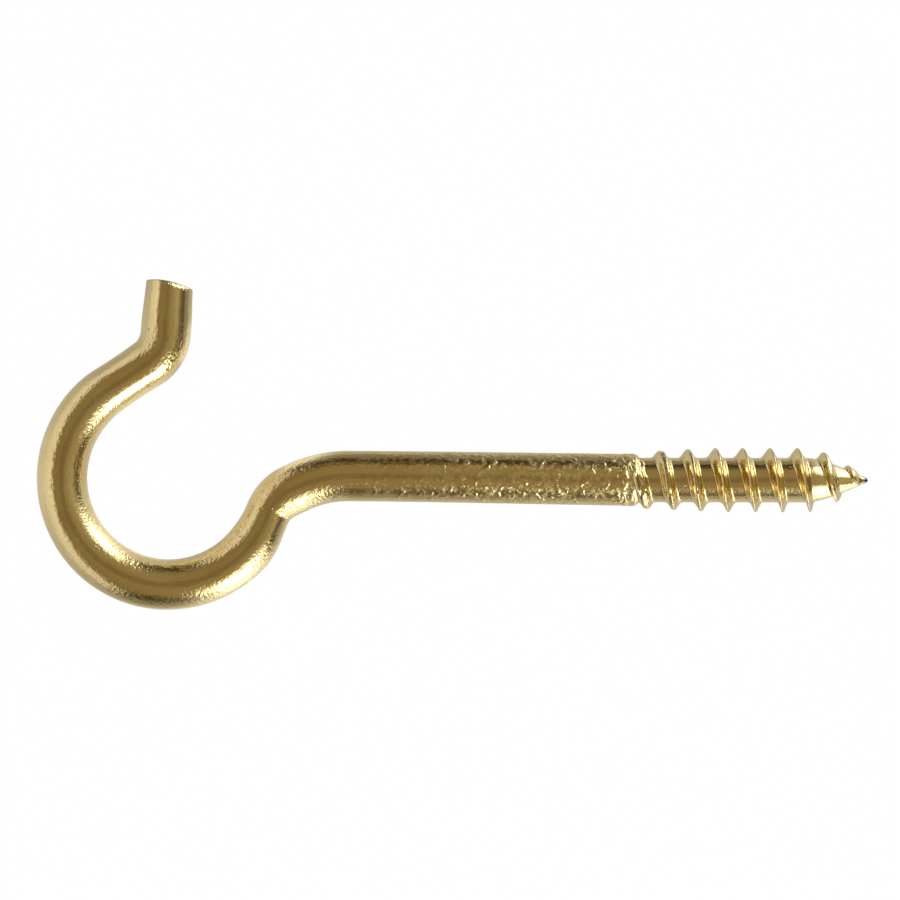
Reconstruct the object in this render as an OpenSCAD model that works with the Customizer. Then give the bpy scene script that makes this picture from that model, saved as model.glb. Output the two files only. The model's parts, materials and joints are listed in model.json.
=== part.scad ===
// Screw hook: one length of wire, bent to an open bow at one end and rolled to a wood-screw thread at the other.
// It lies flat. X runs along the screw towards its point, Y from the screw's axis towards the hook's tip,
// Z across the bends. The origin is on the screw's axis, where the plain shank ends.

/* [Wire] */
// Diameter of the wire in the neck, the bow and the tip
wire_d = 4.85; // [4.2:0.05:5.6]
// Diameter of the shank's end, swollen by the thread rolling
shank_end_d = 5; // [4.7:0.02:5.8]
// How much fatter the wire is across a bend than along a straight
bend_swell = 0.02; // [0.01:0.005:0.06]

/* [Shank] */
// Length of the plain shank, from the thread to the first bend
shank_len = 27.35; // [12:0.05:60]
// Length of the shoulder that tapers from the shank's end to the thread's core
shoulder_len = 0.62; // [0.3:0.02:1.2]

/* [Neck] */
// Centreline radius of the easy bend that leads out of the shank
ease_radius = 11.85; // [7:0.05:20]
// Angle of the easy bend
ease_angle = 27; // [15:0.5:35]
// Straight between the easy bend and the neck bend
neck_lead = 0.5; // [0.3:0.05:3]
// Centreline radius of the neck bend
neck_radius = 4.1; // [3.2:0.05:8]
// Angle of the neck bend
neck_angle = 41.3; // [30:0.1:55]
// Straight between the neck bend and the bow
bow_lead = 0.57; // [0.3:0.01:4]

/* [Bow] */
// Centreline radius of the bow
bow_radius = 10.26; // [7:0.02:16]
// Angle that the bow turns through
bow_angle = 213.9; // [190:0.1:225]
// Straight between the bow and the tip bend
lip_len = 4.57; // [2:0.01:10]

/* [Tip] */
// Centreline radius of the bend that turns the tip out
tip_radius = 3.72; // [3:0.02:8]
// Angle of the tip bend
tip_angle = 51.6; // [20:0.1:70]
// Length of the tip that kept the wire's full size
tip_len = 1.42; // [0.4:0.02:8]
// Length of the tip that the shears squeezed, up to the highest line of the cut end
squeeze_len = 3.75; // [0.5:0.05:6]
// Diameter of the squeezed end
squeeze_d = 4.5; // [3.6:0.02:5.2]
// Radius of the cut end, which the shears left rounded across the hook's plane
cut_radius = 8; // [6:0.1:20]
// How far the cut's highest line lies from the middle of the tip, away from the shank
cut_offset = 1; // [0:0.05:2]

/* [Thread] */
// Diameter over the crests
thread_d = 6.2; // [5.6:0.02:7.4]
// Diameter of the core between the crests
core_d = 4.28; // [3.4:0.02:4.6]
// Distance from one crest to the next
pitch = 2.63; // [2.3:0.01:3.4]
// Length from the shank's end to the point
thread_len = 22.55; // [16:0.05:40]
// Slant of each flank from square to the axis
flank_angle = 26.5; // [22:0.5:35]
// Width of a full crest
crest_w = 0.16; // [0.08:0.01:0.3]
// Half width of the hollow that blends a flank into the core
root_blend = 0.24; // [0.05:0.01:0.26]
// Where the ridge would cross the top of the shank's end, measured along the axis
ridge_start = -0.08; // [-0.5:0.01:0.5]
// Part of a turn over which the ridge rises out of the shank
rise_turns = 0.5; // [0.3:0.05:1]
// Share of the full ridge height once the ridge has left the shank
rise_share = 0.57; // [0.3:0.01:0.9]
// Turns over which the ridge then grows to its full height
growth_turns = 3; // [1:0.1:4]

/* [Point] */
// Length of the tapered point
point_len = 5.85; // [4:0.05:9]
// Fullness of the point: 1 is a plain cone, more is rounder
point_fullness = 1.5; // [1:0.05:2]
// How late the ridge dies away along the point: more is later
fade_out = 1.7; // [1.5:0.1:4]
// Part of a turn over which the ridge ends
end_turns = 0.3; // [0.1:0.05:0.8]
// Bare length at the very point, where the ridge has gone
bare_tip = 0.55; // [0.5:0.05:1.4]

/* [Hidden] */

// Lap of each straight into the bends beside it
lap = 0.12;
// Step by which the shoulder's foot stands proud of the core
shoulder_step = 0.04;
// Sides of a full turn, for the round wire and for the thread
round_sides = 96;
turn_steps = 30;

wire_r = wire_d / 2;
bend_r = wire_r + bend_swell / 2;
core_r = core_d / 2;
tip_end = tip_len + squeeze_len;

// Section of the ridge: slope of a flank, half width at the core, and the hollow that blends the two
ridge_h = (thread_d - core_d) / 2;
flank_run = tan(flank_angle);
foot_half = crest_w / 2 + ridge_h * flank_run;
blend_top = root_blend / flank_run;
blend_middle = 0.3 * blend_top;
widest_crest = foot_half - 1.3 * root_blend;

// The last stretch before the point, where the thread's grid draws together so that it never passes it
draw_len = 1.6 * bare_tip;
draw_from = thread_len - draw_len;
ridge_end = draw_from + draw_len * ln(draw_len / bare_tip);

// The grid has one row for each step round the axis and one column for each point across the ridge.
// It starts a turn before the ridge, inside the shank, and ends a turn after it.
columns = 8;
first_row = -turn_steps;
last_row = ceil(((ridge_end - ridge_start) / pitch + 1) * turn_steps);
row_count = last_row - first_row + 1;

// Place along the axis
function along(a) = a < draw_from ? a : thread_len - draw_len * exp(-(a - draw_from) / draw_len);

// Share of the way down the point, nought on the straight core and one at the tip
function down_point(x) = max(0, (x - thread_len + point_len) / point_len);

// Radius of the core
function core_at(x) = core_r * (1 - pow(down_point(x), point_fullness));

// Smooth step from nought to one
function smooth(s) = let (t = min(1, max(0, s))) t * t * (3 - 2 * t);

// Height of the ridge after so many turns: out of the shank, up to full height, and away towards the point
function ridge_at(turns) =
    let (
        x = along(ridge_start + turns * pitch),
        rise = smooth(turns / rise_turns),
        growth = rise_share + (1 - rise_share) * min(1, max(0, turns) / growth_turns),
        fade = 1 - pow(down_point(x), fade_out),
        end = smooth((thread_len - bare_tip - x) / (end_turns * pitch))
    )
    ridge_h * rise * growth * fade * end;

// Distance of a column from the middle of a ridge that is cut off at height h
function offset_at(column, h) =
    let (
        crest_half = min(crest_w / 2 + (ridge_h - h) * flank_run, widest_crest),
        half = [foot_half + root_blend, foot_half, foot_half - root_blend, crest_half]
    )
    column < 4 ? -half[column] : half[7 - column];

// Height of a column above the core, on a ridge that is cut off at height h
function height_at(column, h) = min(h, [0, blend_middle, blend_top, h][min(column, 7 - column)]);

// One point of the thread's skin
function thread_point(row, column) =
    let (
        turns = row / turn_steps,
        h = ridge_at(turns),
        x = along(ridge_start + turns * pitch + offset_at(column, h)),
        r = core_at(x) + height_at(column, h)
    )
    [x, r * cos(turns * 360), r * sin(turns * 360)];

// Number of a grid point in the list of points: past the last column comes the next turn's first
function index(row, column) =
    column < columns ? row * columns + column : index(row + turn_steps, column - columns);

// Straight wire, starting at the origin and heading along X
module straight(length) {
    translate([-lap, 0, 0]) rotate([0, 90, 0]) cylinder(h = length + 2 * lap, r = wire_r, $fn = round_sides);
}

// Bend to the left, starting at the origin and heading along X
module bend(radius, angle) {
    translate([0, radius, 0])
        rotate([0, 0, -90])
            rotate_extrude(angle = angle, $fn = round_sides)
                translate([radius, 0]) circle(r = bend_r, $fn = round_sides);
}

// What follows a straight
module after_straight(length) {
    translate([length, 0, 0]) children();
}

// What follows a bend to the left
module after_bend(radius, angle) {
    translate([radius * sin(angle), radius * (1 - cos(angle)), 0]) rotate([0, 0, angle]) children();
}

// Plain shank with the shoulder at its end, turned about the screw's axis
module shank() {
    rotate([0, -90, 0])
        rotate_extrude($fn = round_sides)
            polygon([
                [0, -shoulder_len],
                [core_r + shoulder_step, -shoulder_len],
                [shank_end_d / 2, 0],
                [wire_r, shank_len],
                [wire_r, shank_len + lap],
                [0, shank_len + lap]
            ]);
}

// Tip with its squeezed and sheared end, starting at the origin and heading along X
module tip() {
    difference() {
        rotate([0, 90, 0])
            rotate_extrude($fn = round_sides)
                polygon([
                    [0, -lap],
                    [wire_r, -lap],
                    [wire_r, tip_len],
                    [squeeze_d / 2, tip_end],
                    [squeeze_d / 2, tip_end + wire_d],
                    [0, tip_end + wire_d]
                ]);
        translate([tip_end - cut_radius, cut_offset, 0])
            difference() {
                translate([0, -2 * cut_radius, -wire_d])
                    cube([cut_radius + 2 * wire_d, 4 * cut_radius, 2 * wire_d]);
                cylinder(h = 3 * wire_d, r = cut_radius, center = true, $fn = round_sides);
            }
    }
}

// Easy bend and neck bend, then the bow as a bend to the other side
module neck() {
    bend(ease_radius, ease_angle);
    after_bend(ease_radius, ease_angle) {
        straight(neck_lead);
        after_straight(neck_lead) {
            bend(neck_radius, neck_angle);
            after_bend(neck_radius, neck_angle) {
                straight(bow_lead);
                after_straight(bow_lead) mirror([0, 1, 0]) bow();
            }
        }
    }
}

// Bow and lip, then the tip bend to the other side again
module bow() {
    bend(bow_radius, bow_angle);
    after_bend(bow_radius, bow_angle) {
        straight(lip_len);
        after_straight(lip_len) mirror([0, 1, 0]) {
            bend(tip_radius, tip_angle);
            after_bend(tip_radius, tip_angle) tip();
        }
    }
}

// Core, ridge and point of the thread as one closed skin
module thread() {
    skin = [for (row = [first_row : last_row], column = [0 : columns - 1]) thread_point(row, column)];
    apex = len(skin);
    hub = apex + 1;
    ends = [[thread_len, 0, 0], [ridge_start - pitch, 0, 0]];
    last = row_count - 1;
    // Between neighbouring rows, each column is joined to the next, and the last to the next turn's first
    sides = [
        for (row = [0 : last - 1], column = [0 : columns - 1])
            if (column < columns - 1 || row + 1 + turn_steps <= last)
                each [
                    [index(row, column), index(row, column + 1), index(row + 1, column)],
                    [index(row, column + 1), index(row + 1, column + 1), index(row + 1, column)]
                ]
    ];
    // At the start, the first turn's open edge and the first row are drawn in to the hub
    start_edge = [
        for (row = [0 : turn_steps]) index(row, 0),
        for (column = [columns - 1 : -1 : 1]) index(0, column)
    ];
    start_cap = [
        for (k = [0 : len(start_edge) - 1])
            [hub, start_edge[k], start_edge[(k + 1) % len(start_edge)]]
    ];
    // At the end, the last row is joined to the row beside it on the turn before
    beside = index(last - turn_steps + 1, columns - 1);
    end_row = [index(last - turn_steps, columns - 1), for (column = [0 : columns - 1]) index(last, column)];
    end_wedge = [for (k = [0 : columns - 1]) [end_row[k], end_row[k + 1], beside]];
    // The last turn's open edge is drawn in to the point
    end_edge = [for (row = [last - turn_steps + 1 : last]) index(row, columns - 1)];
    end_cap = [
        for (k = [0 : turn_steps - 1])
            [apex, end_edge[(k + 1) % turn_steps], end_edge[k]]
    ];
    polyhedron(concat(skin, ends), concat(sides, start_cap, end_wedge, end_cap));
}

module hook() {
    color("darkgoldenrod") {
        shank();
        thread();
        translate([-shank_len, 0, 0]) rotate([0, 0, 180]) neck();
    }
}

hook();
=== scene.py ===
"""Dresses a wire screw hook: the bent and plated wire, its rolled thread, and the light that it lies in.

The wire starts as a straight tube that is cut into rings. Its course runs from the point of the screw to the
sheared tip, straight and round its bends. Every ring is set on it and shaped by where it lies: the point, the
thread, the torn collar, the plain wire or the cut end.
"""

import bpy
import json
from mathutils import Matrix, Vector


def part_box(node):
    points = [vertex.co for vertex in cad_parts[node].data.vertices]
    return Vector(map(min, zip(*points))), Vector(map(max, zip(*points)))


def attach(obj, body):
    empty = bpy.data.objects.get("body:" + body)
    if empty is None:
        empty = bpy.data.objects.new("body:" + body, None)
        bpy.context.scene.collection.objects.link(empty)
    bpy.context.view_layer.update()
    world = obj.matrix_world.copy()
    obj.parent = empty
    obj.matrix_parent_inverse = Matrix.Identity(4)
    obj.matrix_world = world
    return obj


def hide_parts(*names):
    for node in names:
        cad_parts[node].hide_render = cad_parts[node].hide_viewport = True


bl_info = {
    "name": "Screw hook",
    "version": (1, 0, 0),
    "blender": (4, 5, 0),
    "location": "3D View > Sidebar > Screw hook",
    "description": "Models a brass-plated wire screw hook and the studio that it is shown in",
    "category": "Object",
}

import json
import math
from types import SimpleNamespace
from typing import NamedTuple

import bmesh
import bpy
from bpy.props import FloatProperty, FloatVectorProperty, PointerProperty
from mathutils import Matrix, Vector, noise

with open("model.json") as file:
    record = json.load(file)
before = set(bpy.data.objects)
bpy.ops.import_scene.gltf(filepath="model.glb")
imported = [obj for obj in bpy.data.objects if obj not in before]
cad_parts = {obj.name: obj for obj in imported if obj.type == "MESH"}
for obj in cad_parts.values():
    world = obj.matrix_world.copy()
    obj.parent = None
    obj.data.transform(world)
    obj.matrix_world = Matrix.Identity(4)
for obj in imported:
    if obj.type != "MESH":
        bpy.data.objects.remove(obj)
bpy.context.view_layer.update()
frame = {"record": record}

MM = 0.001
NODE = "hook"

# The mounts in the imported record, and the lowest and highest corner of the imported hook
mounts = {mount["name"]: mount for mount in frame["record"]["mounts"]}
screw, bowl = mounts["screw_thread"], mounts["hook_bowl"]
low_corner, high_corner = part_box(NODE)

# Sides of the wire, and the spacing of its rings along each kind of stretch
SIDES = 128
THREAD_SPACING = 0.06 * MM
COLLAR_SPACING = 0.05 * MM
STRAIGHT_SPACING = 0.4 * MM
BEND_SPACING = 0.25 * MM
# Rings to each side over which the strain of a bend comes on
EASING_RINGS = 5

# The photograph: its width, the pixels that one millimetre takes there, and where the end of the shank lies
PHOTO_PIXELS = 900
PIXELS_PER_MM = 10.375
SHANK_END_PIXEL = (634.0, 478.9)


def linear(hex_colour):
    """Linear red, green, blue and alpha of an sRGB hex colour."""
    channels = [int(hex_colour[start:start + 2], 16) / 255 for start in (1, 3, 5)]
    return [c / 12.92 if c <= 0.04045 else ((c + 0.055) / 1.055) ** 2.4 for c in channels] + [1.0]


def length_property(name, description, default):
    """A size in metres."""
    return FloatProperty(
        name=name, description=description, default=default, min=0.0, unit="LENGTH", precision=5
    )


def angle_property(name, description, default):
    """An angle, given in degrees and kept in radians."""
    return FloatProperty(name=name, description=description, default=math.radians(default), unit="ROTATION")


def colour_property(name, description, hex_colour):
    """A colour, given as sRGB hex and kept linear."""
    return FloatVectorProperty(
        name=name, description=description, default=linear(hex_colour),
        size=4, min=0.0, max=1.0, subtype="COLOR",
    )


def number_property(name, description, default):
    """A plain number, such as a share or a count of turns."""
    return FloatProperty(name=name, description=description, default=default)


class HookWireSizes(bpy.types.PropertyGroup):
    """Sizes of the wire and its bends, from the shank to the tip."""

    wire_d: length_property("Wire", "Diameter of the wire in the neck, the bow and the tip", 4.85 * MM)
    shank_end_d: length_property("Shank end", "Diameter of the shank where the thread starts", 5.0 * MM)
    shank_len: length_property("Shank", "Length of the plain shank", 27.35 * MM)
    ease_radius: length_property("Easy bend", "Radius of the bend that leads out of the shank", 11.85 * MM)
    ease_angle: angle_property("Easy bend angle", "Angle of that bend", 27.0)
    neck_lead: length_property("Neck lead", "Straight between the easy bend and the neck bend", 0.5 * MM)
    neck_radius: length_property("Neck bend", "Radius of the neck bend", 4.1 * MM)
    neck_angle: angle_property("Neck bend angle", "Angle of the neck bend", 41.3)
    bow_lead: length_property("Bow lead", "Straight between the neck bend and the bow", 0.57 * MM)
    bow_radius: length_property("Bow", "Radius of the bow", 10.26 * MM)
    bow_angle: angle_property("Bow angle", "Angle that the bow turns through", 213.9)
    lip_len: length_property("Lip", "Straight between the bow and the tip bend", 4.57 * MM)
    tip_radius: length_property("Tip bend", "Radius of the bend that turns the tip out", 3.72 * MM)
    tip_angle: angle_property("Tip bend angle", "Angle of that bend", 51.6)
    tip_len: length_property("Tip", "Length of the tip that kept the full size of the wire", 1.42 * MM)
    squeeze_len: length_property("Squeezed tip", "Length of the tip that the shears squeezed", 3.75 * MM)
    squeeze_d: length_property("Squeezed end", "Diameter of the squeezed end", 4.5 * MM)
    cut_radius: length_property("Cut", "Radius of the cut end across the plane of the hook", 8.0 * MM)
    cut_offset: length_property("Cut offset", "From the middle of the tip to its highest line", 1.0 * MM)
    roll_over: length_property("Rolled rim", "Radius of the rim where the shears came in", 0.55 * MM)
    cut_rim: length_property("Cut rim", "Radius of the rim where the shears went out", 0.12 * MM)


class HookThreadSizes(bpy.types.PropertyGroup):
    """Sizes of the rolled thread and its point."""

    thread_d: length_property("Thread", "Diameter over the crests", 2 * screw["dims"]["r_mm"] * MM)
    core_d: length_property("Core", "Diameter of the core between the crests", 4.28 * MM)
    pitch: length_property("Pitch", "Distance from one crest to the next", 2.63 * MM)
    thread_len: length_property("Thread length", "From the end of the shank to the point", high_corner.x)
    shoulder_len: length_property("Shoulder", "Length of the taper from the shank to the core", 0.62 * MM)
    flank_angle: angle_property("Flank", "Slant of each flank from square to the axis", 26.5)
    crest_w: length_property("Crest", "Width of a full crest", 0.16 * MM)
    crest_round: length_property("Crest rounding", "How far the edges of the crest are rounded", 0.13 * MM)
    root_blend: length_property("Root", "Half width of the hollow between flank and core", 0.32 * MM)
    ridge_start: FloatProperty(
        name="Ridge start", description="Where the ridge crosses the top of the shank's end",
        default=-0.08 * MM, unit="LENGTH", precision=5,
    )
    rise_turns: number_property("Rise", "Turns in which the ridge leaves the shank", 0.5)
    rise_share: number_property("Rise share", "Share of the full height that it has then", 0.57)
    growth_turns: number_property("Growth", "Turns in which it grows to full height", 3.0)
    point_len: length_property("Point", "Length of the tapered point", 5.85 * MM)
    point_fullness: number_property("Fullness", "1 is a plain cone, more is rounder", 1.5)
    fade_out: number_property("Fade", "How late the ridge dies away along the point", 1.7)
    end_turns: number_property("End", "Turns in which the ridge ends", 0.3)
    bare_tip: length_property("Bare tip", "Length at the very point where the ridge has gone", 0.55 * MM)


class HookFinish(bpy.types.PropertyGroup):
    """Colours and gloss of the plating."""

    plating: colour_property("Plating", "Bright brass plating", "#EBD89E")
    warm_plating: colour_property("Warm plating", "Plating where the bath left more copper", "#E6CE93")
    tarnish: colour_property("Tarnish", "Dulled brass in the pits", "#8A6C34")
    # A darker grey that the very point of the screw turns to
    point_grey: colour_property("Bare steel", "Steel at the very point, where the plating is thin", "#5E594C")
    roughness: FloatProperty(
        name="Roughness", description="Roughness of the smooth plating", default=0.15,
        min=0.0, max=1.0, subtype="FACTOR",
    )


class HookStage(bpy.types.PropertyGroup):
    """The floor, the camera and the lamps."""

    floor: colour_property("Floor", "Board that the hook lies on", "#E6E9F2")
    camera_height: length_property("Camera height", "Height of the camera over the hook", 0.6)
    roll: angle_property("Roll", "How far the screw drops to the right in the picture", 0.6)
    lamp_distance: length_property("Lamp distance", "Distance of the lamps from the hook", 0.6)


def plain(group):
    """A plain copy of a group of settings, which loops read much faster than the group itself."""
    return SimpleNamespace(**{key: getattr(group, key) for key in group.__annotations__})


# Mesh of the wire


def smooth(share):
    """Smooth step from nought to one."""
    share = min(1.0, max(0.0, share))
    return share * share * (3.0 - 2.0 * share)


def soft_min(a, b, blend):
    """The lesser of two heights, with the corner between them rounded."""
    if blend <= 0.0:
        return min(a, b)
    return min(a, b) - max(blend - abs(a - b), 0.0) ** 2 / (4.0 * blend)


# The very point is pressed blunt: by how much, and the lengths in which that comes and goes
BLUNT_POINT = 0.2 * MM
BLUNT_RISE = 0.1 * MM
BLUNT_REACH = 0.8 * MM

# Towards the point the thread is drawn together, over so many times the length of the bare tip. The windings
# would have no end at the very point, so the last small share of that length is left out
DRAWN_TIMES = 1.6
DRAWN_LEFT_OUT = 1e-3

# The rounding of a crest takes at most this share of its height
ROUNDED_SHARE = 0.5

# The dies left the ridge uneven round the screw. Its flank on the shank's side is wider at the front and
# more so at the top, by a share of its width and up to one turn. At the bottom both flanks and their roots
# lose another share, from one turn on and in so many turns. The hollow at the root has only a share of its
# width at the front and the back
WIDER_SHARE = 0.34
WIDER_UP_TO = 7.5
SLIMMER_SHARE = 0.6
SLIMMER_FROM = 3.0
SLIMMER_TURNS = 4.2
FRONT_ROOT_SHARE = 0.35


class ThreadForm:
    """Radius of the screw at any place along and around its axis."""

    def __init__(self, sizes, shank_r):
        self.sizes = sizes
        self.shank_r = shank_r
        self.core_r = sizes.core_d / 2
        self.ridge_h = (sizes.thread_d - sizes.core_d) / 2
        self.run = math.tan(sizes.flank_angle)
        self.draw_len = DRAWN_TIMES * sizes.bare_tip
        self.draw_from = sizes.thread_len - self.draw_len

    def down_point(self, x):
        """Share of the way down the point, nought on the straight core and one at the tip."""
        return max(0.0, (x - self.sizes.thread_len + self.sizes.point_len) / self.sizes.point_len)

    def core(self, x):
        """Radius of the core, with the shoulder that leads down to it from the shank."""
        core = self.core_r * (1.0 - min(1.0, self.down_point(x)) ** self.sizes.point_fullness)
        left = max(0.0, self.sizes.thread_len - x)
        core += BLUNT_POINT * (1.0 - math.exp(-left / BLUNT_RISE)) * math.exp(-left / BLUNT_REACH)
        shoulder = (self.shank_r - self.core_r) * (1.0 - smooth(x / self.sizes.shoulder_len))
        return core + shoulder

    def unwound(self, x):
        """Place along the thread before it was drawn together at the point."""
        if x <= self.draw_from:
            return x
        left = max(self.sizes.thread_len - x, DRAWN_LEFT_OUT * self.draw_len)
        return self.draw_from - self.draw_len * math.log(left / self.draw_len)

    def height(self, turns, x):
        """Height of the ridge after so many turns, as it leaves the shank, grows and dies away."""
        sizes = self.sizes
        rise = smooth(turns / sizes.rise_turns)
        growth = sizes.rise_share + (1.0 - sizes.rise_share) * min(1.0, max(0.0, turns) / sizes.growth_turns)
        fade = max(0.0, 1.0 - self.down_point(x) ** sizes.fade_out)
        end = smooth((sizes.thread_len - sizes.bare_tip - x) / (sizes.end_turns * sizes.pitch))
        return self.ridge_h * rise * growth * fade * end

    def flank_share(self, turns, up, past):
        """Width of a flank, as a share of the plain one, after so many turns and on one side of the crest."""
        share = 1.0 - SLIMMER_SHARE * max(0.0, -up) * smooth((turns - SLIMMER_FROM) / SLIMMER_TURNS)
        wider = WIDER_SHARE * (1.0 + up) / 2 * smooth(WIDER_UP_TO - turns)
        return share + (wider if past < 0.0 else 0.0)

    def ridge(self, x, angle):
        """Height of the skin above the core, the height of the ridge there, and its turn."""
        sizes = self.sizes
        place = self.unwound(x) - sizes.ridge_start
        part_turn = angle / math.tau
        turns = round(place / sizes.pitch - part_turn) + part_turn
        past = place - turns * sizes.pitch
        offset = abs(past)
        crest = self.height(turns, x)
        share = self.flank_share(turns, math.cos(angle), past)
        run = self.run * share
        foot = sizes.crest_w / 2 + self.ridge_h * run
        root = sizes.root_blend * (FRONT_ROOT_SHARE + (1.0 - FRONT_ROOT_SHARE) * math.cos(angle) ** 2)
        root *= min(1.0, share)
        reach = foot + root - offset
        if reach <= 0.0 or crest <= 0.0:
            return 0.0, crest, turns
        flank = (foot - offset) / run
        if reach < 2.0 * root:
            flank = reach ** 2 / (4.0 * root * run)
        rounding = min(sizes.crest_round, ROUNDED_SHARE * crest)
        return max(0.0, soft_min(flank, crest, rounding)), crest, turns


class WireCourse:
    """Course of the wire in the plane of the hook, noted ring by ring."""

    def __init__(self, start, heading):
        self.place = Vector(start)
        self.heading = heading
        self.length = 0.0
        self.rings = []
        self.marks = {}
        self.note_ring(0.0)

    def along(self):
        """Unit vector that the wire heads along."""
        return Vector((math.cos(self.heading), math.sin(self.heading), 0.0))

    def left(self):
        """Unit vector to the left of the heading."""
        return Vector((-math.sin(self.heading), math.cos(self.heading), 0.0))

    def note_ring(self, curvature):
        """Notes a ring here: its place and directions, its distance along the wire, and the bend there."""
        self.rings.append(SimpleNamespace(
            place=self.place.copy(), along=self.along(), right=-self.left(),
            distance=self.length, curvature=curvature,
        ))

    def mark(self, name):
        """Notes how long the wire is so far, under a name."""
        self.marks[name] = self.length

    def straight(self, length, spacing):
        """Leads the wire on straight."""
        steps = math.ceil(length / spacing)
        for _ in range(steps):
            self.place += self.along() * (length / steps)
            self.length += length / steps
            self.note_ring(0.0)

    def bend(self, radius, angle):
        """Leads the wire on round a bend, to the left where the angle is positive."""
        steps = math.ceil(radius * abs(angle) / BEND_SPACING)
        side = math.copysign(1.0, angle)
        centre = self.place + self.left() * (side * radius)
        turn = Matrix.Rotation(angle / steps, 3, "Z")
        for _ in range(steps):
            self.place = centre + turn @ (self.place - centre)
            self.heading += angle / steps
            self.length += radius * abs(angle) / steps
            self.note_ring(side / radius)

    def ease_bends(self):
        """Lets each bend come on and fade out over a few rings, as the metal beside it is strained too."""
        sharp = [ring.curvature for ring in self.rings]
        for number, ring in enumerate(self.rings):
            near = sharp[max(0, number - EASING_RINGS):number + EASING_RINGS + 1]
            ring.curvature = sum(near) / len(near)


# The stretch along the axis that the torn collar needs fine rings for
TORN_FROM = -1.45 * MM
TORN_TO = 2.0 * MM

# Torn metal where the rolling dies took hold: a ring round the shank's end, and a strip on the start of the
# ridge. Each has its start and end along the axis at the front, and fades at its edges. The strip reaches so
# many radians round from the front
TORN_RING = (-1.25 * MM, 0.25 * MM)
TORN_RIDGE = (0.3 * MM, 1.4 * MM)
TORN_RIDGE_REACH = 2.3
TORN_FADE = 0.3 * MM
# Patches in it: their size, how much of the metal they cover, how sharply they end, and their noise's seed
TORN_PATCH = 1.1 * MM
TORN_COVER = 1.1
TORN_CONTRAST = 1.1
TORN_SEED = 3.0
# How torn the metal is at the top and the bottom, as a share of the front and the back
TORN_SIDES = 0.4

# Strands of torn metal: their spacing along the axis, length round it, lean, height and contrast
STRAND_SPACING = 0.38 * MM
STRAND_LENGTH = 0.95 * MM
STRAND_LEAN = 0.4
STRAND_HEIGHT = 0.16 * MM
STRAND_CONTRAST = 1.3
# Finer strands on them: how many times finer, and their share of the height
FINER_TIMES = 2.7
FINER_SHARE = 0.5

# Ragged ridge: the turns over which it calms down, and the share that stays ragged after them
RAGGED_TURNS = 4.5
CALM_SHARE = 0.2
# Nicks in its crest: their length and depth, how common they are, the row of the noise that they are read
# from, and how far up the flank they start
NICK_LENGTH = 0.4 * MM
NICK_DEPTH = 0.14 * MM
NICK_COVER = 0.35
NICK_ROW = 5.0
NICKED_FROM = 0.5
# Bumps on its flanks: their size, height and seed, and how far up the flank they are full
BUMP_SIZE = 0.34 * MM
BUMP_HEIGHT = 0.05 * MM
BUMP_SEED = 9.0
BUMPED_FROM = 1 / 3

# Slight unevenness of the drawn wire: the length and height of its waves, and how many there are round it
WAVE_LENGTH = 1.6 * MM
WAVE_HEIGHT = 0.012 * MM
WAVES_ROUND = 2.4

# The rolling left the screw slightly out of line with the shank: by how much at its start and at its point
SAG_AT_COLLAR = -0.1 * MM
LIFT_AT_POINT = 0.1 * MM
SAG_REACH = 20.0 * MM

# Places where the bending changed the section a little: reach along the wire, change of radius
SECTION_CHANGES = {
    "neck": (3.2 * MM, -0.11 * MM),
    "bow": (9.0 * MM, 0.06 * MM),
    "lip": (4.5 * MM, -0.1 * MM),
}

# Dents that the bending tools left: the place on the wire that each lies near, how far past it, the angle
# from the front towards the right, half its length along the wire, half its width round it, and its depth
DENTS = (
    ("neck", -0.25 * MM, math.radians(-30.0), 0.4 * MM, 1.0 * MM, 0.07 * MM),
    ("neck", -1.5 * MM, math.radians(-42.0), 0.3 * MM, 0.8 * MM, 0.025 * MM),
    ("neck", -2.4 * MM, math.radians(-36.0), 0.35 * MM, 0.9 * MM, 0.03 * MM),
    ("neck", 0.8 * MM, math.radians(-90.0), 3.3 * MM, 2.8 * MM, 0.27 * MM),
    ("tip", 0.9 * MM, math.radians(16.0), 0.25 * MM, 0.35 * MM, 0.02 * MM),
)


def spread(spot, seed=0.0):
    """Smooth noise at a spot, between about minus one and one."""
    return noise.noise(Vector(spot) + Vector((seed, seed, seed)))


def torn_share(form, x, side):
    """How torn the metal is, from nought to one, at a place along the axis and on one side of it."""
    from_front = math.atan2(-side.y, side.z)
    ring_start, ring_end = TORN_RING
    ring = smooth((x - ring_start) / TORN_FADE) * smooth((ring_end - x) / TORN_FADE)
    ridge_start, ridge_end = TORN_RIDGE
    on_ridge = x - form.sizes.pitch * from_front / math.tau
    ridge = smooth((on_ridge - ridge_start) / TORN_FADE) * smooth((ridge_end - on_ridge) / TORN_FADE)
    ridge *= smooth(TORN_RIDGE_REACH - abs(from_front))
    around = form.shank_r / TORN_PATCH
    in_patch = spread((x / TORN_PATCH, around * side.y, around * side.z), TORN_SEED)
    patch = smooth(TORN_COVER + TORN_CONTRAST * in_patch)
    return max(ring, ridge) * patch * (TORN_SIDES + (1.0 - TORN_SIDES) * side.z ** 2)


def strand_height(form, x, side):
    """Height of the torn strands. They lean across the thread."""
    across = form.shank_r * side.y
    spot = Vector(((x + STRAND_LEAN * across) / STRAND_SPACING, across / STRAND_LENGTH,
                   form.shank_r * side.z / STRAND_LENGTH))
    broad = smooth(0.5 + STRAND_CONTRAST * spread(spot)) - 0.5
    return STRAND_HEIGHT * (broad + FINER_SHARE * spread(FINER_TIMES * spot))


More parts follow.
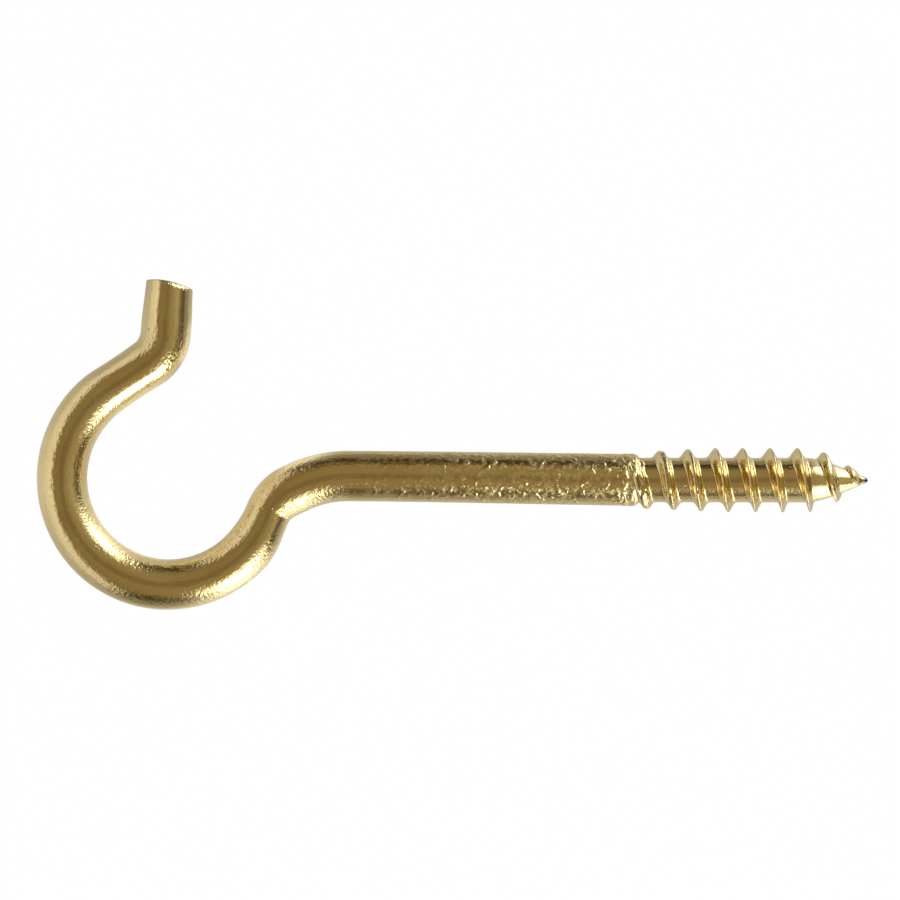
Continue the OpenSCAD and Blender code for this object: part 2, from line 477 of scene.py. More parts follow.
def raggedness(form, x, side, height, crest, turns):
    """How far the ridge is worn down, by nicks in its crest and bumps on its flanks."""
    ragged = CALM_SHARE + (1.0 - CALM_SHARE) * max(0.0, 1.0 - turns / RAGGED_TURNS)
    up_flank = height / crest
    arc = turns * math.tau * form.core_r
    nick = smooth(spread((arc / NICK_LENGTH, 0.0, NICK_ROW)) + NICK_COVER)
    nick *= smooth((up_flank - NICKED_FROM) / (1.0 - NICKED_FROM))
    radius = form.core_r + height
    bump = spread((x / BUMP_SIZE, radius * side.y / BUMP_SIZE, radius * side.z / BUMP_SIZE), BUMP_SEED)
    bump *= smooth(up_flank / BUMPED_FROM)
    return ragged * (NICK_DEPTH * nick + BUMP_HEIGHT * bump) * min(1.0, crest / form.ridge_h)


def unevenness(x, side):
    """Slight waves in the drawn wire, at a place along it and a unit vector to its side."""
    return WAVE_HEIGHT * spread((x / WAVE_LENGTH, WAVES_ROUND * side.y, WAVES_ROUND * side.z))


def out_of_line(form, x):
    """How far the screw and the shank lie off their straight axis."""
    if x < 0.0:
        return SAG_AT_COLLAR * max(0.0, 1.0 + x / SAG_REACH)
    return SAG_AT_COLLAR + (LIFT_AT_POINT - SAG_AT_COLLAR) * x / form.sizes.thread_len


def screw_radius(form, x, side, torn):
    """Radius of the screw at a place along its axis, on the side that a unit vector points to."""
    angle = math.atan2(side.z, side.y) % math.tau
    height, crest, turns = form.ridge(x, angle)
    if height > 0.0:
        height -= raggedness(form, x, side, height, crest, turns)
    radius = form.core(x) + height
    if torn > 0.0:
        radius += torn * strand_height(form, x, side)
    return max(radius, 0.0)


def squeezed(wire, course, distance):
    """How far down the squeezed tip a place on the wire is: nought where it starts, one at the cut."""
    return max(0.0, distance - course.length + wire.squeeze_len) / wire.squeeze_len


def wire_radius(wire, form, course, distance):
    """Radius of the plain wire after a distance: shank, bends and squeezed tip."""
    wire_r = wire.wire_d / 2
    x = form.sizes.thread_len - distance
    if x > -wire.shank_len:
        return form.shank_r + (wire_r - form.shank_r) * (-x / wire.shank_len)
    radius = wire_r - (wire.wire_d - wire.squeeze_d) / 2 * squeezed(wire, course, distance)
    for name, (reach, change) in SECTION_CHANGES.items():
        radius += change * smooth(1.0 - abs(distance - course.marks[name]) / reach)
    return radius


def dent_depth(course, distance, side, radius):
    """How deep the tools dented the wire, after a distance and on the side that a unit vector points to."""
    from_front = math.atan2(side.y, side.z)
    depth = 0.0
    for name, past, angle, half_length, half_width, deepest in DENTS:
        along = (distance - course.marks[name] - past) / half_length
        around = (from_front - angle) * radius / half_width
        depth += deepest * smooth(1.0 - math.hypot(along, around))
    return depth


def lead_wire(wire, thread):
    """Leads the wire from the point of the screw to the end of the tip."""
    course = WireCourse((thread.thread_len, 0.0, 0.0), math.pi)
    course.straight(thread.thread_len - TORN_TO, THREAD_SPACING)
    course.straight(TORN_TO - TORN_FROM, COLLAR_SPACING)
    course.straight(wire.shank_len + TORN_FROM, STRAIGHT_SPACING)
    course.bend(wire.ease_radius, wire.ease_angle)
    course.straight(wire.neck_lead, BEND_SPACING)
    course.bend(wire.neck_radius, wire.neck_angle)
    course.mark("neck")
    course.straight(wire.bow_lead, BEND_SPACING)
    course.bend(wire.bow_radius, -wire.bow_angle / 2)
    course.mark("bow")
    course.bend(wire.bow_radius, -wire.bow_angle / 2)
    course.straight(wire.lip_len / 2, BEND_SPACING)
    course.mark("lip")
    course.straight(wire.lip_len / 2, BEND_SPACING)
    course.bend(wire.tip_radius, wire.tip_angle)
    course.mark("tip")
    course.straight(wire.tip_len, BEND_SPACING)
    course.straight(wire.squeeze_len, BEND_SPACING)
    course.ease_bends()
    return course


# Rings round the rolled rim of the cut end, and across its face
RIM_RINGS = 10
FACE_RINGS = 8
# Where the shears came in, as an angle from the front to the right of the tip, and how narrow that side is
ROLL_OVER_SIDE = math.radians(22.0)
ROLL_OVER_NARROWNESS = 5
# Strain of the metal that was sheared, which roughens it
CUT_STRAIN = 0.5


class CutEnd:
    """Form of the sheared end: a face that is rounded across the hook, and a rim rolled over on one side."""

    def __init__(self, wire):
        self.wire = wire
        self.radius = wire.squeeze_d / 2

    def rim(self, side):
        """Radius of the rim on the side that a unit vector points to."""
        inward = max(0.0, math.cos(math.atan2(side.y, side.z) - ROLL_OVER_SIDE))
        return self.wire.cut_rim + (self.wire.roll_over - self.wire.cut_rim) * inward ** ROLL_OVER_NARROWNESS

    def drop(self, across):
        """How far the face lies back from its highest line, at a distance to the right of the middle."""
        reach = across + self.wire.cut_offset
        return self.wire.cut_radius - math.sqrt(self.wire.cut_radius ** 2 - reach ** 2)

    def rim_start(self, side):
        """How far the rim starts back from the highest line."""
        return self.rim(side) + self.drop(self.radius * side.y)

    def place(self, side, share, rim_share):
        """Distance from the axis and back from the highest line.

        The share runs from the rim to the middle of the face, the rim's own share from the side to the face.
        """
        bow = rim_share * math.pi / 2
        rim = self.rim(side)
        out = (self.radius - rim * (1.0 - math.cos(bow))) * (1.0 - share)
        return out, self.drop(out * side.y) + rim * (1.0 - math.sin(bow))


def metal_layers(bm):
    """Layers that the plating reads: the place on the straight wire, its strain, and how torn it is."""
    layers = bm.verts.layers
    return SimpleNamespace(
        straight=layers.float_vector.new("straight"),
        strain=layers.float.new("strain"),
        torn=layers.float.new("torn"),
    )


def cut_tube(bm, ring_count):
    """Cuts a straight tube along Z into so many rings, one apart, and gives the first and the last."""
    tall = ring_count - 1
    stand = Matrix.Translation((0.0, 0.0, tall / 2))
    bmesh.ops.create_cone(
        bm, cap_ends=False, segments=SIDES, radius1=1.0, radius2=1.0, depth=tall, matrix=stand
    )
    lengthwise = [edge for edge in bm.edges if edge.verts[0].co.z != edge.verts[1].co.z]
    bmesh.ops.subdivide_edges(bm, edges=lengthwise, cuts=ring_count - 2, use_grid_fill=True)
    return [[vert for vert in bm.verts if round(vert.co.z) == number] for number in (0, tall)]


def shape_wire(bm, layers, course, wire, thread):
    """Sets every ring of the tube on its course, shapes it, and fills its layers."""
    form = ThreadForm(thread, wire.shank_end_d / 2)
    end = CutEnd(wire)
    last = len(course.rings) - 1
    for vert in bm.verts:
        number = round(vert.co.z)
        ring = course.rings[min(number, last)]
        x = thread.thread_len - ring.distance
        side = Vector((0.0, vert.co.x, vert.co.y)).normalized()
        middle = ring.place.copy()
        if number > last:
            rim_share = min(1.0, (number - last) / RIM_RINGS)
            face_share = max(0.0, (number - last - RIM_RINGS) / FACE_RINGS)
            radius, back = end.place(side, face_share, rim_share)
            middle -= back * ring.along
            vert[layers.strain] = CUT_STRAIN
        elif x > TORN_FROM:
            vert[layers.torn] = torn_share(form, x, side)
            radius = screw_radius(form, x, side, vert[layers.torn])
        else:
            radius = wire_radius(wire, form, course, ring.distance) + unevenness(x, side)
            radius -= dent_depth(course, ring.distance, side, radius)
            middle -= squeezed(wire, course, ring.distance) * end.rim_start(side) * ring.along
        if x > -wire.shank_len:
            middle += out_of_line(form, x) * ring.right
        vert.co = middle + radius * side.y * ring.right
        vert.co.z += radius * side.z
        vert[layers.straight] = (x, radius * side.y, radius * side.z)
        vert[layers.strain] += abs(ring.curvature) * radius * abs(side.y)


def close_ends(bm, ends):
    """Draws the first ring together at the point of the screw, and the last one in the middle of the cut."""
    for ring in ends:
        middle = sum((vert.co for vert in ring), Vector()) / len(ring)
        bmesh.ops.pointmerge(bm, verts=ring, merge_co=middle)


def add_object(name, data):
    """Links new data to the scene as an object."""
    thing = bpy.data.objects.new(name, data)
    bpy.context.scene.collection.objects.link(thing)
    return thing


def make_piece(name, bm, material):
    """Turns a mesh that is in place into an object at the origin."""
    bmesh.ops.recalc_face_normals(bm, faces=bm.faces)
    for face in bm.faces:
        face.smooth = True
    mesh = bpy.data.meshes.new(name)
    bm.to_mesh(mesh)
    bm.free()
    mesh.materials.append(material)
    return add_object(name, mesh)


# Materials


def add_node(tree, kind, settings, links):
    """Adds a node. Settings are its options or its sockets' values, links are other nodes' outputs."""
    node = tree.nodes.new(kind)
    for name, value in settings.items():
        if isinstance(name, int) or name in node.inputs:
            node.inputs[name].default_value = value
        else:
            setattr(node, name, value)
    for name, output in links.items():
        tree.links.new(output, node.inputs[name])
    return node


def empty_material(name):
    """A material with an empty node tree."""
    material = bpy.data.materials.new(name)
    material.use_nodes = True
    material.node_tree.nodes.clear()
    return material


# Noises of the plating: the size of their marks, and how much finer detail they have
NOISES = {
    "grain": (0.3 * MM, 3.0),
    "peel": (0.3 * MM, 2.0),
    "mottle": (0.45 * MM, 2.0),
    "blisters": (0.6 * MM, 0.5),
    "patches": (3.0 * MM, 6.0),
}
# Middle of a noise, which runs from nought to one
NOISE_MIDDLE = 0.5

# Grain: its depth, and how much glossier and rougher it makes the skin. The torn collar is rougher still
GRAIN_DEPTH = 0.02 * MM
GRAIN_GLOSSIER = 0.04
GRAIN_ROUGHER = 0.06
TORN_DULLNESS = 0.06
# Lines along the wire from the drawing die
LINE_LENGTH = 7.0 * MM
LINE_WIDTH = 0.22 * MM
LINE_DEPTH = 0.012 * MM
LINE_DETAIL = 3.0
# Orange peel of the bends, for a strain of one, and the strain beyond which it gets no deeper
PEEL_DEPTH = 0.24 * MM
PEEL_STRAIN = 0.33
# Mottled skin of the shank, and the levels of its noise between which a spot turns dull
MOTTLE_DEPTH = 0.042 * MM
MOTTLE_DULLNESS = 0.26
DULL_FROM = 0.45
DULL_TO = 0.65
# Blisters of the shank, and the levels of their noise between which one rises
BLISTER_HEIGHT = 0.045 * MM
BLISTER_FROM = 0.55
BLISTER_TO = 0.78
# Where along the axis both come on from the bends, and where they end at the thread
MOTTLED_FROM = -36.0 * MM
MOTTLED_TO = -10.0 * MM
SMOOTH_FROM = -0.6 * MM
SMOOTH_TO = 0.6 * MM
# Pits, and the share of their radius that is flat
PIT_SPACING = 1.4 * MM
PIT_RADIUS = 0.11 * MM
PIT_DEPTH = 0.03 * MM
PIT_FLAT_SHARE = 0.5
# Levels of the patches' noise between which they turn warm
WARM_FROM = 0.4
WARM_TO = 0.7
# Darker grey at the very point: how far from the point it starts and is full
GREYING_FROM = 0.75 * MM
GREYING_TO = 0.25 * MM


def brass_plating(finish, thread_len):
    """Bright brass plating on drawn steel wire.

    The eye sees a clear but not perfect mirror: fine grain that frays the edges of each reflection, faint
    lines along the wire from the drawing die, a mottled shank with small blisters that catch the lamps as
    specks, an orange-peel skin where the wire was bent, and a few dull pits.
    """
    material = empty_material("brass plating on drawn steel wire")
    tree = material.node_tree
    straight = add_node(tree, "ShaderNodeAttribute", {"attribute_name": "straight"}, {}).outputs["Vector"]
    strain = add_node(tree, "ShaderNodeAttribute", {"attribute_name": "strain"}, {}).outputs["Fac"]
    torn = add_node(tree, "ShaderNodeAttribute", {"attribute_name": "torn"}, {}).outputs["Fac"]

    noises = {}
    for name, (size, detail) in NOISES.items():
        marks = {"Scale": 1 / size, "Detail": detail}
        noises[name] = add_node(tree, "ShaderNodeTexNoise", marks, {"Vector": straight}).outputs["Fac"]

    # Lines along the wire, and peel where it was bent
    stretch = (1 / LINE_LENGTH, 1 / LINE_WIDTH, 1 / LINE_WIDTH)
    lengthwise = add_node(tree, "ShaderNodeMapping", {"Scale": stretch}, {"Vector": straight})
    lines = add_node(
        tree, "ShaderNodeTexNoise", {"Scale": 1.0, "Detail": LINE_DETAIL},
        {"Vector": lengthwise.outputs["Vector"]},
    )
    up_and_down = add_node(
        tree, "ShaderNodeMath", {"operation": "SUBTRACT", 1: NOISE_MIDDLE}, {0: noises["peel"]}
    )
    raised = add_node(tree, "ShaderNodeMath", {"operation": "MINIMUM", 1: PEEL_STRAIN}, {0: strain})
    strained_peel = add_node(
        tree, "ShaderNodeMath", {"operation": "MULTIPLY"},
        {0: up_and_down.outputs["Value"], 1: raised.outputs["Value"]},
    )

    # Mottled skin on the shank, and blisters where a coarser noise is highest
    place = add_node(tree, "ShaderNodeSeparateXYZ", {}, {"Vector": straight})
    shank_span = {"From Min": MOTTLED_FROM, "From Max": MOTTLED_TO, "interpolation_type": "SMOOTHSTEP"}
    off_bends = add_node(tree, "ShaderNodeMapRange", shank_span, {"Value": place.outputs["X"]})
    thread_span = {"From Min": SMOOTH_FROM, "From Max": SMOOTH_TO, "To Min": 1.0, "To Max": 0.0}
    off_thread = add_node(tree, "ShaderNodeMapRange", thread_span, {"Value": place.outputs["X"]})
    on_shank = add_node(
        tree, "ShaderNodeMath", {"operation": "MULTIPLY"},
        {0: off_bends.outputs["Result"], 1: off_thread.outputs["Result"]},
    )
    mottle = add_node(
        tree, "ShaderNodeMath", {"operation": "MULTIPLY"},
        {0: noises["mottle"], 1: on_shank.outputs["Value"]},
    )
    blister_span = {"From Min": BLISTER_FROM, "From Max": BLISTER_TO, "interpolation_type": "SMOOTHSTEP"}
    all_blisters = add_node(tree, "ShaderNodeMapRange", blister_span, {"Value": noises["blisters"]})
    blisters = add_node(
        tree, "ShaderNodeMath", {"operation": "MULTIPLY"},
        {0: all_blisters.outputs["Result"], 1: on_shank.outputs["Value"]},
    )

    # Pits, one in each cell of a coarse net: nought at the bottom of a pit, one on the plain skin
    net = add_node(tree, "ShaderNodeTexVoronoi", {"Scale": 1 / PIT_SPACING}, {"Vector": straight})
    rim = PIT_RADIUS / PIT_SPACING
    pit_edge = {"From Min": PIT_FLAT_SHARE * rim, "From Max": rim}
    skin = add_node(tree, "ShaderNodeMapRange", pit_edge, {"Value": net.outputs["Distance"]})

    # Colour: brass that drifts a little warmer in patches, is dull in the pits and turns darker grey
    # at the very point
    warm_span = {"From Min": WARM_FROM, "From Max": WARM_TO}
    warmth = add_node(tree, "ShaderNodeMapRange", warm_span, {"Value": noises["patches"]})
    colour = add_node(
        tree, "ShaderNodeMixRGB", {"Color1": finish.plating, "Color2": finish.warm_plating},
        {"Fac": warmth.outputs["Result"]},
    )
    colour = add_node(
        tree, "ShaderNodeMixRGB", {"Color1": finish.tarnish},
        {"Fac": skin.outputs["Result"], "Color2": colour.outputs["Color"]},
    )
    greying_span = {"From Min": thread_len - GREYING_FROM, "From Max": thread_len - GREYING_TO}
    bare = add_node(tree, "ShaderNodeMapRange", greying_span, {"Value": place.outputs["X"]})
    colour = add_node(
        tree, "ShaderNodeMixRGB", {"Color2": finish.point_grey},
        {"Fac": bare.outputs["Result"], "Color1": colour.outputs["Color"]},
    )

    # Gloss: the grain varies it a little, and the torn collar and spots of the shank are duller
    rough_span = {"To Min": finish.roughness - GRAIN_GLOSSIER, "To Max": finish.roughness + GRAIN_ROUGHER}
    roughness = add_node(tree, "ShaderNodeMapRange", rough_span, {"Value": noises["grain"]})
    torn_roughness = add_node(
        tree, "ShaderNodeMath", {"operation": "MULTIPLY_ADD", 1: TORN_DULLNESS},
        {0: torn, 2: roughness.outputs["Result"]},
    )
    dull_span = {"From Min": DULL_FROM, "From Max": DULL_TO, "To Max": MOTTLE_DULLNESS}
    spots = add_node(tree, "ShaderNodeMapRange", dull_span, {"Value": noises["mottle"]})
    duller = add_node(
        tree, "ShaderNodeMath", {"operation": "MULTIPLY_ADD"},
        {0: spots.outputs["Result"], 1: on_shank.outputs["Value"], 2: torn_roughness.outputs["Value"]},
    )

    # Relief: each kind of mark lies over the one before
    links = {}
    for depth, height in (
        (LINE_DEPTH, lines.outputs["Fac"]),
        (GRAIN_DEPTH, noises["grain"]),
        (MOTTLE_DEPTH, mottle.outputs["Value"]),
        (BLISTER_HEIGHT, blisters.outputs["Value"]),
        (PEEL_DEPTH, strained_peel.outputs["Value"]),
        (PIT_DEPTH, skin.outputs["Result"]),
    ):
        relief = add_node(tree, "ShaderNodeBump", {"Distance": depth}, {"Height": height, **links})
        links = {"Normal": relief.outputs["Normal"]}

    shader = add_node(
        tree, "ShaderNodeBsdfPrincipled", {"Metallic": 1.0},
        {"Base Color": colour.outputs["Color"], "Roughness": duller.outputs["Value"], **links},
    )
    add_node(tree, "ShaderNodeOutputMaterial", {}, {"Surface": shader.outputs["BSDF"]})
    return material


# How much of the floor's white the camera sees as plain light
WHITE_FOR_CAMERA = 0.995
# How much of it the metal mirrors: a painted pool of light on the board, strong near the wire and faint
# farther out, and the distances where that changes
PAINTED_GLOW_NEAR = 0.38
PAINTED_GLOW_FAR = 0.01
NEAR = 5.0 * MM
FAR = 13.0 * MM
# Painted light on the board that stands in for what the bow throws back, seen only in the metal: how much
# it adds on the side that faces each lamp, how narrow those sides are, and where that ends
PAINTED_THROWN_LIGHT = {"left panel": 0.2, "upper right softbox": 0.9, "lower right softbox": 0.6}
THROWN_NARROWNESS = 5.0
THROWN_NEAR = 4.0 * MM
THROWN_FAR = 7.0 * MM
# Gloss of the board, which mirrors the lamps softly into the underside of the wire
BOARD_SHEEN = 0.9
BOARD_ROUGHNESS = 0.44


def satin_board(colour, bow_centre, bow_radius, lamp_sides):
    """White board with a satin coat.

    The eye sees an even white ground with a very faint shadow round the hook, and in the underside of the
    wire the lamps' soft reflections and a painted glow on the board round the hook, which stands in for the
    light that the hook throws back and is seen only in reflections.
    """
    material = empty_material("satin white board")
    tree = material.node_tree
    paths = add_node(tree, "ShaderNodeLightPath", {}, {}).outputs
    seen = add_node(
        tree, "ShaderNodeMath", {"operation": "MAXIMUM"},
        {0: paths["Is Camera Ray"], 1: paths["Is Transmission Ray"]},
    )
    seen_white = add_node(
        tree, "ShaderNodeMath", {"operation": "MULTIPLY", 1: WHITE_FOR_CAMERA}, {0: seen.outputs["Value"]}
    )

    # Distance from the middle of the wire, along the screw or round the bow
    spot = add_node(tree, "ShaderNodeTexCoord", {}, {}).outputs["Object"]
    beside = add_node(tree, "ShaderNodeSeparateXYZ", {}, {"Vector": spot})
    from_screw = add_node(tree, "ShaderNodeMath", {"operation": "ABSOLUTE"}, {0: beside.outputs["Y"]})
    from_centre = add_node(
        tree, "ShaderNodeVectorMath", {"operation": "DISTANCE", 1: bow_centre}, {0: spot}
    )
    off_bow = add_node(
        tree, "ShaderNodeMath", {"operation": "SUBTRACT", 1: bow_radius}, {0: from_centre.outputs["Value"]}
    )
    from_bow = add_node(tree, "ShaderNodeMath", {"operation": "ABSOLUTE"}, {0: off_bow.outputs["Value"]})
    distance = add_node(
        tree, "ShaderNodeMath", {"operation": "MINIMUM"},
        {0: from_screw.outputs["Value"], 1: from_bow.outputs["Value"]},
    )
    # Painted pool of light on the board round the wire, which only the metal's reflections see
    pool = {"From Min": NEAR, "From Max": FAR, "To Min": PAINTED_GLOW_NEAR, "To Max": PAINTED_GLOW_FAR}
    near = add_node(tree, "ShaderNodeMapRange", pool, {"Value": distance.outputs["Value"]})
    painted_glow = near.outputs["Result"]

    # Painted light on the board for the light that the bow throws back: most on the sides of the wire that
    # face a lamp, and seen only in reflections
    thrown = {"From Min": THROWN_NEAR, "From Max": THROWN_FAR, "To Min": 1.0, "To Max": 0.0}
    reach = add_node(tree, "ShaderNodeMapRange", thrown, {"Value": from_bow.outputs["Value"]})
    outside = add_node(tree, "ShaderNodeMath", {"operation": "SIGN"}, {0: off_bow.outputs["Value"]})
    out = add_node(tree, "ShaderNodeVectorMath", {"operation": "SUBTRACT", 1: bow_centre}, {0: spot})
    outward = add_node(tree, "ShaderNodeVectorMath", {"operation": "NORMALIZE"}, {0: out.outputs["Vector"]})
    away = add_node(
        tree, "ShaderNodeVectorMath", {"operation": "SCALE"},
        {0: outward.outputs["Vector"], "Scale": outside.outputs["Value"]},
    )
    for name, lamp_side in lamp_sides.items():
        facing = add_node(
            tree, "ShaderNodeVectorMath", {"operation": "DOT_PRODUCT", 1: lamp_side},
            {0: away.outputs["Vector"]},
        )
        lit = add_node(tree, "ShaderNodeMath", {"operation": "MAXIMUM", 1: 0.0}, {0: facing.outputs["Value"]})
        share = add_node(
            tree, "ShaderNodeMath", {"operation": "POWER", 1: THROWN_NARROWNESS}, {0: lit.outputs["Value"]}
        )
        strength = add_node(
            tree, "ShaderNodeMath", {"operation": "MULTIPLY", 1: PAINTED_THROWN_LIGHT[name]},
            {0: share.outputs["Value"]},
        )
        painted_glow = add_node(
            tree, "ShaderNodeMath", {"operation": "MULTIPLY_ADD"},
            {0: strength.outputs["Value"], 1: reach.outputs["Result"], 2: painted_glow},
        ).outputs["Value"]
    white = add_node(
        tree, "ShaderNodeMath", {"operation": "MULTIPLY_ADD"},
        {0: paths["Is Glossy Ray"], 1: painted_glow, 2: seen_white.outputs["Value"]},
    )
    coat = {"Base Color": colour, "Metallic": BOARD_SHEEN, "Roughness": BOARD_ROUGHNESS}
    board = add_node(tree, "ShaderNodeBsdfPrincipled", coat, {})
    glow = add_node(tree, "ShaderNodeEmission", {"Color": (1.0, 1.0, 1.0, 1.0), "Strength": 1.0}, {})
    mixed = add_node(
        tree, "ShaderNodeMixShader", {},
        {"Fac": white.outputs["Value"], 1: board.outputs["BSDF"], 2: glow.outputs["Emission"]},
    )
    add_node(tree, "ShaderNodeOutputMaterial", {}, {"Surface": mixed.outputs["Shader"]})
    return material


# Stage

FLOOR_SIZE = 4.0

# Room round the table. Both scales run from nought to one, with the middle straight ahead: from left to
# right, where it is warm and dim on the left and lighter on the right, and by height, where it is darker at
# the horizon
ROOM_ACROSS = (
    (0.2, (0.246, 0.190, 0.104)),
    (0.5, (0.310, 0.240, 0.131)),
    (0.75, (0.350, 0.295, 0.190)),
    (1.0, (0.620, 0.540, 0.360)),
)
ROOM_UPWARDS = (
    (0.5, (0.18, 0.18, 0.18)),
    (0.6, (0.16, 0.16, 0.16)),
    (0.69, (0.27, 0.27, 0.27)),
    (0.82, (0.95, 0.95, 0.95)),
    (0.978, (1.0, 1.0, 1.0)),
    (1.0, (0.64, 0.64, 0.64)),
)


class Lamp(NamedTuple):
    """A soft lamp.

    Its direction round the hook and up from the floor is in degrees, its width and height are in metres, and
    its radiance is that of its middle.
    """

    azimuth: float
    elevation: float
    width: float
    height: float
    radiance: float
    tint: tuple
    fades: bool


LAMPS = {
    "left panel": Lamp(180.5, 21.5, 2.3, 0.47, 0.775, (0.98, 0.955, 1.0), False),
    "upper right softbox": Lamp(47.5, 16.5, 0.65, 0.84, 8.0, (1.0, 1.0, 1.0), True),
    "lower right softbox": Lamp(302.0, 20.0, 0.6, 0.88, 8.0, (1.0, 1.0, 1.0), True),
    "card below": Lamp(272.0, 12.0, 0.28, 0.4, 0.2, (1.0, 0.88, 0.6), True),
}


def aim_point(roll):
    """Point of the hook's middle plane at the middle of the picture."""
    across = (PHOTO_PIXELS / 2 - SHANK_END_PIXEL[0]) / PIXELS_PER_MM * MM
    up = (SHANK_END_PIXEL[1] - PHOTO_PIXELS / 2) / PIXELS_PER_MM * MM
    return Matrix.Rotation(roll, 3, "Z") @ Vector((across, up, 0.0))


def add_floor(colour, wire):
    """Lays the board under the lowest crest of the thread."""
    bow_radius = bowl["dims"]["r_mm"] * MM
    bow_centre = Vector(bowl["pos_m"]) + Vector(bowl["axis"]) * bow_radius
    bow_centre.z = low_corner.z
    bm = bmesh.new()
    under = Matrix.Translation((0.0, 0.0, low_corner.z))
    bmesh.ops.create_grid(bm, x_segments=1, y_segments=1, size=FLOOR_SIZE / 2, matrix=under)
    lamp_sides = {}
    for name in PAINTED_THROWN_LIGHT:
        azimuth = math.radians(LAMPS[name].azimuth)
        lamp_sides[name] = (math.cos(azimuth), math.sin(azimuth), 0.0)
    floor = make_piece("floor", bm, satin_board(colour, bow_centre, wire.bow_radius, lamp_sides))


def add_camera(stage):
    """Hangs the camera straight over the hook."""
    lens = bpy.data.cameras.new("camera")
    lens.lens = lens.sensor_width * stage.camera_height / (PHOTO_PIXELS / PIXELS_PER_MM * MM)
    camera = add_object("camera", lens)
    camera.location = aim_point(stage.roll) + Vector((0.0, 0.0, stage.camera_height))
    camera.rotation_euler = (0.0, 0.0, stage.roll)
    bpy.context.scene.camera = camera


def fade_to_edge(data):
    """Lets a lamp fade from its middle to its edge, as the cloth of a softbox does."""
    data.use_nodes = True
    tree = data.node_tree
    tree.nodes.clear()
    face = add_node(tree, "ShaderNodeTexCoord", {}, {})
    centred = {"Location": (-1.0, -1.0, 0.0), "Scale": (2.0, 2.0, 1.0)}
    spot = add_node(tree, "ShaderNodeMapping", centred, {"Vector": face.outputs["UV"]})
    fade = add_node(
        tree, "ShaderNodeTexGradient", {"gradient_type": "QUADRATIC_SPHERE"},
        {"Vector": spot.outputs["Vector"]},
    )
    light = add_node(tree, "ShaderNodeEmission", {}, {"Strength": fade.outputs["Fac"]})
    add_node(tree, "ShaderNodeOutputLight", {}, {"Surface": light.outputs["Emission"]})


def add_lamp(name, lamp, target, distance):
    """Hangs a soft lamp at a distance from the hook, facing it."""
    data = bpy.data.lights.new(name, "AREA")
    data.shape = "RECTANGLE"
    data.size = lamp.width
    data.size_y = lamp.height
    data.color = lamp.tint
    data.energy = math.pi * lamp.width * lamp.height * lamp.radiance
    if lamp.fades:
        fade_to_edge(data)
    hung = add_object(name, data)
    turn, rise = math.radians(lamp.azimuth), math.radians(lamp.elevation)
    away = Vector((math.cos(turn) * math.cos(rise), math.sin(turn) * math.cos(rise), math.sin(rise)))
    hung.location = target + away * distance
    hung.rotation_euler = (-away).to_track_quat("-Z", "Y").to_euler()


def add_room():
    """Sets the dim room round the table as the world's light."""
    world = bpy.data.worlds.new("room")
    world.use_nodes = True
    tree = world.node_tree
    tree.nodes.clear()
    direction = add_node(tree, "ShaderNodeTexCoord", {}, {})
    halved = {"Location": (0.5, 0.5, 0.5), "Scale": (0.5, 0.5, 0.5)}
    scales = add_node(tree, "ShaderNodeMapping", halved, {"Vector": direction.outputs["Generated"]})
    parts = add_node(tree, "ShaderNodeSeparateXYZ", {}, {"Vector": scales.outputs["Vector"]})
    tones = []
    for axis, stops in (("X", ROOM_ACROSS), ("Z", ROOM_UPWARDS)):
        ramp = add_node(tree, "ShaderNodeValToRGB", {}, {"Fac": parts.outputs[axis]})
        for number, (position, tone) in enumerate(stops):
            elements = ramp.color_ramp.elements
            element = elements[number] if number < len(elements) else elements.new(position)
            element.position = position
            element.color = (*tone, 1.0)
        tones.append(ramp.outputs["Color"])
    room = add_node(
        tree, "ShaderNodeMixRGB", {"blend_type": "MULTIPLY", "Fac": 1.0},
        {"Color1": tones[0], "Color2": tones[1]},
    )
    light = add_node(tree, "ShaderNodeBackground", {"Strength": 1.0}, {"Color": room.outputs["Color"]})
    add_node(tree, "ShaderNodeOutputWorld", {}, {"Surface": light.outputs["Background"]})
    bpy.context.scene.world = world


# Operators and panel


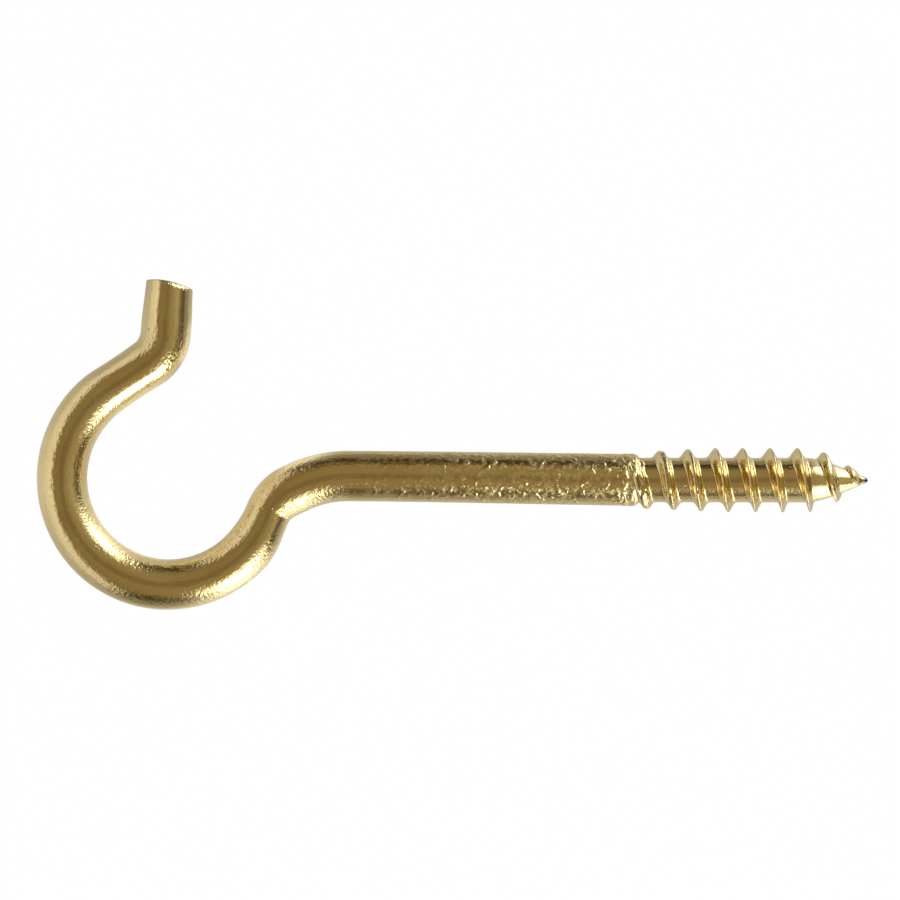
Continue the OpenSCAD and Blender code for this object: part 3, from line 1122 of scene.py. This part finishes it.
class SCREWHOOK_OT_wire(bpy.types.Operator):
    """Draws, threads, bends and plates the wire of the hook"""

    bl_idname = "screw_hook.wire"
    bl_label = "Make the hook"

    def execute(self, context):
        wire, thread = plain(context.scene.hook_wire), plain(context.scene.hook_thread)
        bm = bmesh.new()
        course = lead_wire(wire, thread)
        layers = metal_layers(bm)
        ends = cut_tube(bm, len(course.rings) + RIM_RINGS + FACE_RINGS)
        shape_wire(bm, layers, course, wire, thread)
        close_ends(bm, ends)
        hook = make_piece("hook_wire", bm, brass_plating(context.scene.hook_finish, thread.thread_len))
        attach(hook, "root")
        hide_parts(NODE)
        return {"FINISHED"}


class SCREWHOOK_OT_stage(bpy.types.Operator):
    """Lays the floor, hangs the lamps and the camera, and sets the room"""

    bl_idname = "screw_hook.stage"
    bl_label = "Set the stage"

    def execute(self, context):
        stage = context.scene.hook_stage
        add_floor(stage.floor, context.scene.hook_wire)
        add_camera(stage)
        target = aim_point(stage.roll)
        for name, lamp in LAMPS.items():
            add_lamp(name, lamp, target, stage.lamp_distance)
        add_room()
        context.scene.view_settings.view_transform = "Standard"
        return {"FINISHED"}


class SCREWHOOK_PT_sidebar(bpy.types.Panel):
    """Sizes, finish and stage of the screw hook"""

    bl_idname = "SCREWHOOK_PT_sidebar"
    bl_label = "Screw hook"
    bl_space_type = "VIEW_3D"
    bl_region_type = "UI"
    bl_category = "Screw hook"

    def draw(self, context):
        for operator, settings in ((SCREWHOOK_OT_wire, ("hook_wire", "hook_thread", "hook_finish")),
                                   (SCREWHOOK_OT_stage, ("hook_stage",))):
            box = self.layout.box()
            box.operator(operator.bl_idname)
            for name in settings:
                group = getattr(context.scene, name)
                for key in group.__annotations__:
                    box.prop(group, key)


SETTINGS = {
    "hook_wire": HookWireSizes,
    "hook_thread": HookThreadSizes,
    "hook_finish": HookFinish,
    "hook_stage": HookStage,
}
CLASSES = (*SETTINGS.values(), SCREWHOOK_OT_wire, SCREWHOOK_OT_stage, SCREWHOOK_PT_sidebar)


def register():
    """Registers the classes and the settings."""
    for cls in CLASSES:
        bpy.utils.register_class(cls)
    for name, group in SETTINGS.items():
        setattr(bpy.types.Scene, name, PointerProperty(type=group))


def unregister():
    """Takes the settings and the classes away again."""
    for name in SETTINGS:
        delattr(bpy.types.Scene, name)
    for cls in reversed(CLASSES):
        bpy.utils.unregister_class(cls)


def main():
    register()
    bpy.ops.screw_hook.wire()
    bpy.ops.screw_hook.stage()


if __name__ == "__main__":
    main()
